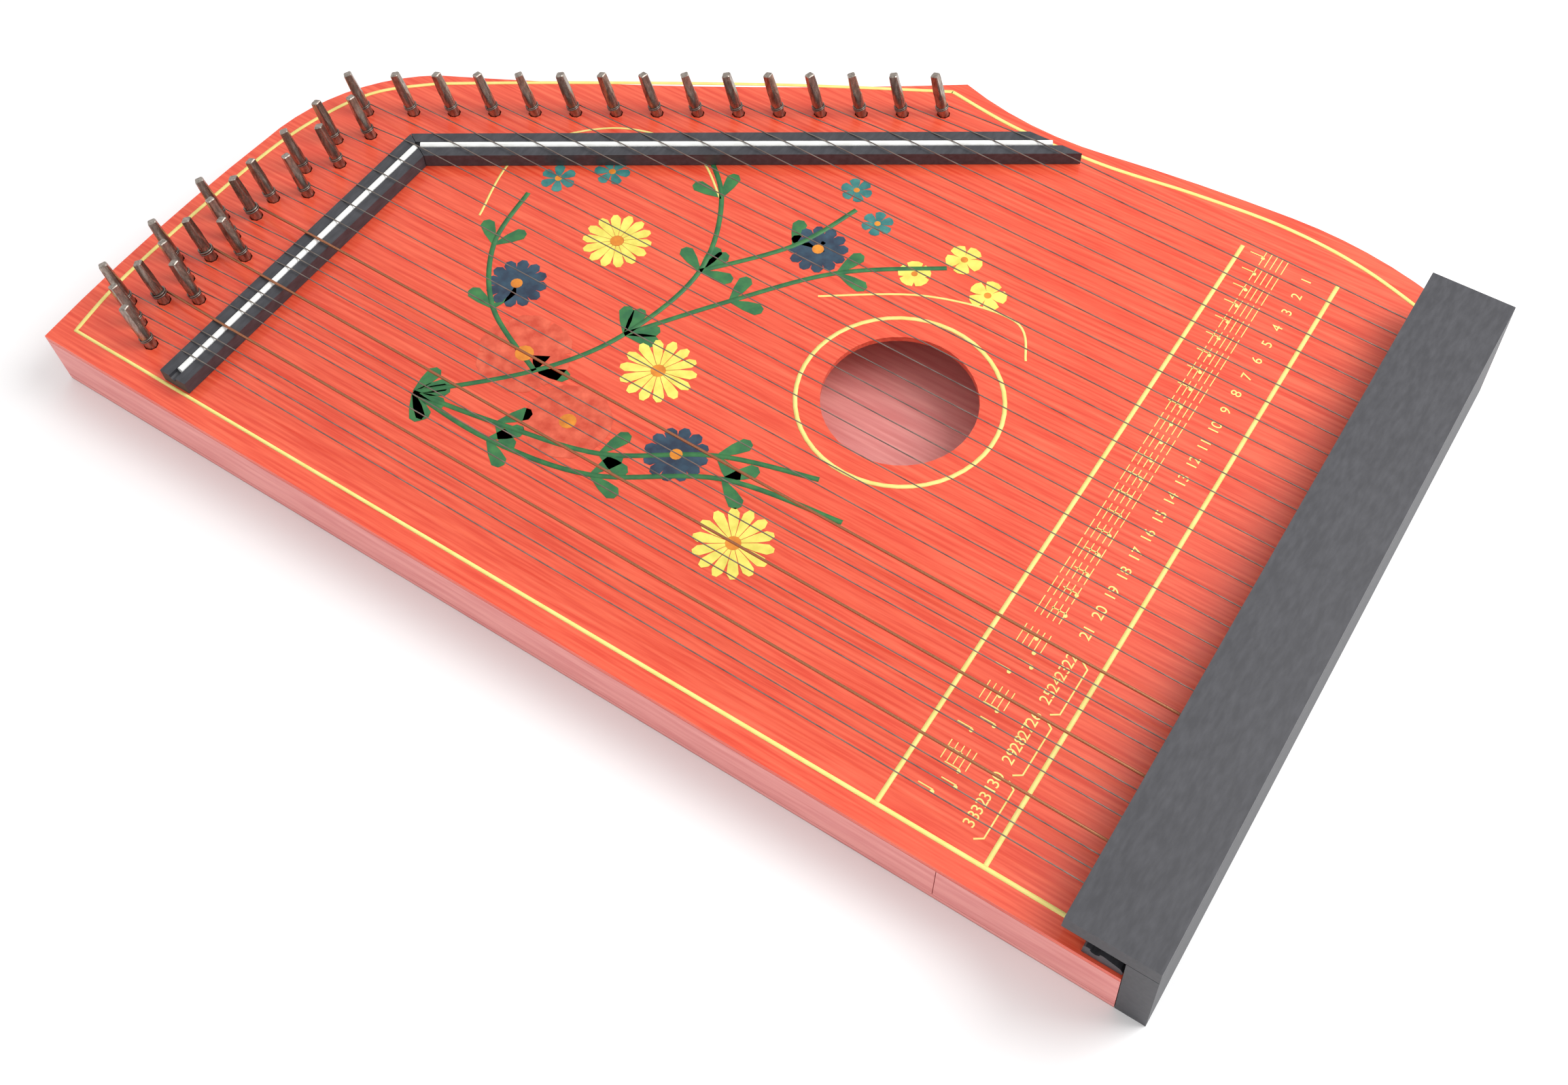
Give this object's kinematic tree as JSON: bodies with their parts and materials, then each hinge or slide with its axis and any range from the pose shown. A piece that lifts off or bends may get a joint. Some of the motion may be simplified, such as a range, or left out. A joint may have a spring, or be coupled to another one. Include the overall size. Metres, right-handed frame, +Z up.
{
  "type": "chord zither",
  "caption": "flat hollow string instrument with an L-shaped bridge, melody strings beside chord groups, turning tuning pins and a hand rest over the string ends",
  "frame": {"origin": "middle of the bounding box, on the flat underside that rests on the table", "axes": "+X along the strings towards the tail and its cover, +Y from the player's edge to the far edge, +Z up out of the soundboard"},
  "size_m": [0.5156, 0.3358, 0.0512],
  "materials": {
    "red_lacquer": "translucent gloss lacquer over straight grain",
    "salmon_paint": "pale pink stain, satin",
    "bare_wood": "bare spruce, matt",
    "black_paint": "black satin paint",
    "white_rod": "polished",
    "nickel_steel": "dulled nickel plating",
    "string_steel": "plain drawn wire",
    "copper_winding": "copper-coloured wire"
  },
  "bodies": {
    "body": {"back_brace_left": "bare_wood", "back_brace_right": "bare_wood", "back_panel": "salmon_paint", "bridge_diagonal": "black_paint", "bridge_left": "black_paint", "bridge_rod_diagonal": "white_rod", "bridge_rod_left": "white_rod", "chord_strings_1": "copper_winding", "chord_strings_2": "copper_winding", "chord_strings_3": "copper_winding", "cover_board": "black_paint", "diagonal_pin_block": "salmon_paint", "front_rib": "salmon_paint", "hitch_block": "salmon_paint", "left_pin_block": "salmon_paint", "melody_strings": "string_steel", "shoulder_rib": "salmon_paint", "soundboard": "red_lacquer", "soundboard_brace_left": "bare_wood", "soundboard_brace_right": "bare_wood", "tail_block": "black_paint", "tail_rail": "black_paint", "tail_rod": "white_rod"},
    "pin_01": {"tuning_pin_01": "nickel_steel"},
    "pin_02": {"tuning_pin_02": "nickel_steel"},
    "pin_03": {"tuning_pin_03": "nickel_steel"},
    "pin_04": {"tuning_pin_04": "nickel_steel"},
    "pin_05": {"tuning_pin_05": "nickel_steel"},
    "pin_06": {"tuning_pin_06": "nickel_steel"},
    "pin_07": {"tuning_pin_07": "nickel_steel"},
    "pin_08": {"tuning_pin_08": "nickel_steel"},
    "pin_09": {"tuning_pin_09": "nickel_steel"},
    "pin_10": {"tuning_pin_10": "nickel_steel"},
    "pin_11": {"tuning_pin_11": "nickel_steel"},
    "pin_12": {"tuning_pin_12": "nickel_steel"},
    "pin_13": {"tuning_pin_13": "nickel_steel"},
    "pin_14": {"tuning_pin_14": "nickel_steel"},
    "pin_15": {"tuning_pin_15": "nickel_steel"},
    "pin_16": {"tuning_pin_16": "nickel_steel"},
    "pin_17": {"tuning_pin_17": "nickel_steel"},
    "pin_18": {"tuning_pin_18": "nickel_steel"},
    "pin_19": {"tuning_pin_19": "nickel_steel"},
    "pin_20": {"tuning_pin_20": "nickel_steel"},
    "pin_21": {"tuning_pin_21": "nickel_steel"},
    "pin_22": {"tuning_pin_22": "nickel_steel"},
    "pin_23": {"tuning_pin_23": "nickel_steel"},
    "pin_24": {"tuning_pin_24": "nickel_steel"},
    "pin_25": {"tuning_pin_25": "nickel_steel"},
    "pin_26": {"tuning_pin_26": "nickel_steel"},
    "pin_27": {"tuning_pin_27": "nickel_steel"},
    "pin_28": {"tuning_pin_28": "nickel_steel"},
    "pin_29": {"tuning_pin_29": "nickel_steel"},
    "pin_30": {"tuning_pin_30": "nickel_steel"},
    "pin_31": {"tuning_pin_31": "nickel_steel"},
    "pin_32": {"tuning_pin_32": "nickel_steel"},
    "pin_33": {"tuning_pin_33": "nickel_steel"}
  },
  "joints": [
    {"name": "pin_01_turn", "type": "hinge", "parent": "body", "child": "pin_01", "pos_m": [-0.00262, 0.14319, 0.0284], "axis": [-0.2756, 0, 0.9613], "range_deg": [-720, 90]},
    {"name": "pin_02_turn", "type": "hinge", "parent": "body", "child": "pin_02", "pos_m": [-0.01848, 0.13339, 0.0284], "axis": [-0.2756, 0, 0.9613], "range_deg": [-720, 90]},
    {"name": "pin_03_turn", "type": "hinge", "parent": "body", "child": "pin_03", "pos_m": [-0.03434, 0.12359, 0.0284], "axis": [-0.2756, 0, 0.9613], "range_deg": [-720, 90]},
    {"name": "pin_04_turn", "type": "hinge", "parent": "body", "child": "pin_04", "pos_m": [-0.0502, 0.11379, 0.0284], "axis": [-0.2756, 0, 0.9613], "range_deg": [-720, 90]},
    {"name": "pin_05_turn", "type": "hinge", "parent": "body", "child": "pin_05", "pos_m": [-0.06606, 0.10399, 0.0284], "axis": [-0.2756, 0, 0.9613], "range_deg": [-720, 90]},
    {"name": "pin_06_turn", "type": "hinge", "parent": "body", "child": "pin_06", "pos_m": [-0.08192, 0.09419, 0.0284], "axis": [-0.2756, 0, 0.9613], "range_deg": [-720, 90]},
    {"name": "pin_07_turn", "type": "hinge", "parent": "body", "child": "pin_07", "pos_m": [-0.09778, 0.08439, 0.0284], "axis": [-0.2756, 0, 0.9613], "range_deg": [-720, 90]},
    {"name": "pin_08_turn", "type": "hinge", "parent": "body", "child": "pin_08", "pos_m": [-0.11364, 0.07459, 0.0284], "axis": [-0.2756, 0, 0.9613], "range_deg": [-720, 90]},
    {"name": "pin_09_turn", "type": "hinge", "parent": "body", "child": "pin_09", "pos_m": [-0.1295, 0.06479, 0.0284], "axis": [-0.2756, 0, 0.9613], "range_deg": [-720, 90]},
    {"name": "pin_10_turn", "type": "hinge", "parent": "body", "child": "pin_10", "pos_m": [-0.14536, 0.05499, 0.0284], "axis": [-0.2756, 0, 0.9613], "range_deg": [-720, 90]},
    {"name": "pin_11_turn", "type": "hinge", "parent": "body", "child": "pin_11", "pos_m": [-0.16122, 0.04519, 0.0284], "axis": [-0.2756, 0, 0.9613], "range_deg": [-720, 90]},
    {"name": "pin_12_turn", "type": "hinge", "parent": "body", "child": "pin_12", "pos_m": [-0.17708, 0.03539, 0.0284], "axis": [-0.2756, 0, 0.9613], "range_deg": [-720, 90]},
    {"name": "pin_13_turn", "type": "hinge", "parent": "body", "child": "pin_13", "pos_m": [-0.19294, 0.02559, 0.0284], "axis": [-0.2756, 0, 0.9613], "range_deg": [-720, 90]},
    {"name": "pin_14_turn", "type": "hinge", "parent": "body", "child": "pin_14", "pos_m": [-0.2088, 0.01579, 0.0284], "axis": [-0.2756, 0, 0.9613], "range_deg": [-720, 90]},
    {"name": "pin_15_turn", "type": "hinge", "parent": "body", "child": "pin_15", "pos_m": [-0.227, 0.00459, 0.0284], "axis": [-0.2756, 0, 0.9613], "range_deg": [-720, 90]},
    {"name": "pin_16_turn", "type": "hinge", "parent": "body", "child": "pin_16", "pos_m": [-0.216, -0.00596, 0.0284], "axis": [-0.2756, 0, 0.9613], "range_deg": [-720, 90]},
    {"name": "pin_17_turn", "type": "hinge", "parent": "body", "child": "pin_17", "pos_m": [-0.227, -0.01651, 0.0284], "axis": [-0.2756, 0, 0.9613], "range_deg": [-720, 90]},
    {"name": "pin_18_turn", "type": "hinge", "parent": "body", "child": "pin_18", "pos_m": [-0.216, -0.02706, 0.0284], "axis": [-0.2756, 0, 0.9613], "range_deg": [-720, 90]},
    {"name": "pin_19_turn", "type": "hinge", "parent": "body", "child": "pin_19", "pos_m": [-0.227, -0.03761, 0.0284], "axis": [-0.2756, 0, 0.9613], "range_deg": [-720, 90]},
    {"name": "pin_20_turn", "type": "hinge", "parent": "body", "child": "pin_20", "pos_m": [-0.216, -0.04816, 0.0284], "axis": [-0.2756, 0, 0.9613], "range_deg": [-720, 90]},
    {"name": "pin_21_turn", "type": "hinge", "parent": "body", "child": "pin_21", "pos_m": [-0.227, -0.05871, 0.0284], "axis": [-0.2756, 0, 0.9613], "range_deg": [-720, 90]},
    {"name": "pin_22_turn", "type": "hinge", "parent": "body", "child": "pin_22", "pos_m": [-0.2264, -0.07031, 0.0284], "axis": [-0.2756, 0, 0.9613], "range_deg": [-720, 90]},
    {"name": "pin_23_turn", "type": "hinge", "parent": "body", "child": "pin_23", "pos_m": [-0.238, -0.07891, 0.0284], "axis": [-0.2756, 0, 0.9613], "range_deg": [-720, 90]},
    {"name": "pin_24_turn", "type": "hinge", "parent": "body", "child": "pin_24", "pos_m": [-0.22595, -0.08476, 0.0284], "axis": [-0.2756, 0, 0.9613], "range_deg": [-720, 90]},
    {"name": "pin_25_turn", "type": "hinge", "parent": "body", "child": "pin_25", "pos_m": [-0.2139, -0.09061, 0.0284], "axis": [-0.2756, 0, 0.9613], "range_deg": [-720, 90]},
    {"name": "pin_26_turn", "type": "hinge", "parent": "body", "child": "pin_26", "pos_m": [-0.2264, -0.09861, 0.0284], "axis": [-0.2756, 0, 0.9613], "range_deg": [-720, 90]},
    {"name": "pin_27_turn", "type": "hinge", "parent": "body", "child": "pin_27", "pos_m": [-0.238, -0.10721, 0.0284], "axis": [-0.2756, 0, 0.9613], "range_deg": [-720, 90]},
    {"name": "pin_28_turn", "type": "hinge", "parent": "body", "child": "pin_28", "pos_m": [-0.22595, -0.11306, 0.0284], "axis": [-0.2756, 0, 0.9613], "range_deg": [-720, 90]},
    {"name": "pin_29_turn", "type": "hinge", "parent": "body", "child": "pin_29", "pos_m": [-0.2139, -0.11891, 0.0284], "axis": [-0.2756, 0, 0.9613], "range_deg": [-720, 90]},
    {"name": "pin_30_turn", "type": "hinge", "parent": "body", "child": "pin_30", "pos_m": [-0.2264, -0.12691, 0.0284], "axis": [-0.2756, 0, 0.9613], "range_deg": [-720, 90]},
    {"name": "pin_31_turn", "type": "hinge", "parent": "body", "child": "pin_31", "pos_m": [-0.238, -0.13551, 0.0284], "axis": [-0.2756, 0, 0.9613], "range_deg": [-720, 90]},
    {"name": "pin_32_turn", "type": "hinge", "parent": "body", "child": "pin_32", "pos_m": [-0.22595, -0.14136, 0.0284], "axis": [-0.2756, 0, 0.9613], "range_deg": [-720, 90]},
    {"name": "pin_33_turn", "type": "hinge", "parent": "body", "child": "pin_33", "pos_m": [-0.2139, -0.14721, 0.0284], "axis": [-0.2756, 0, 0.9613], "range_deg": [-720, 90]}
  ]
}
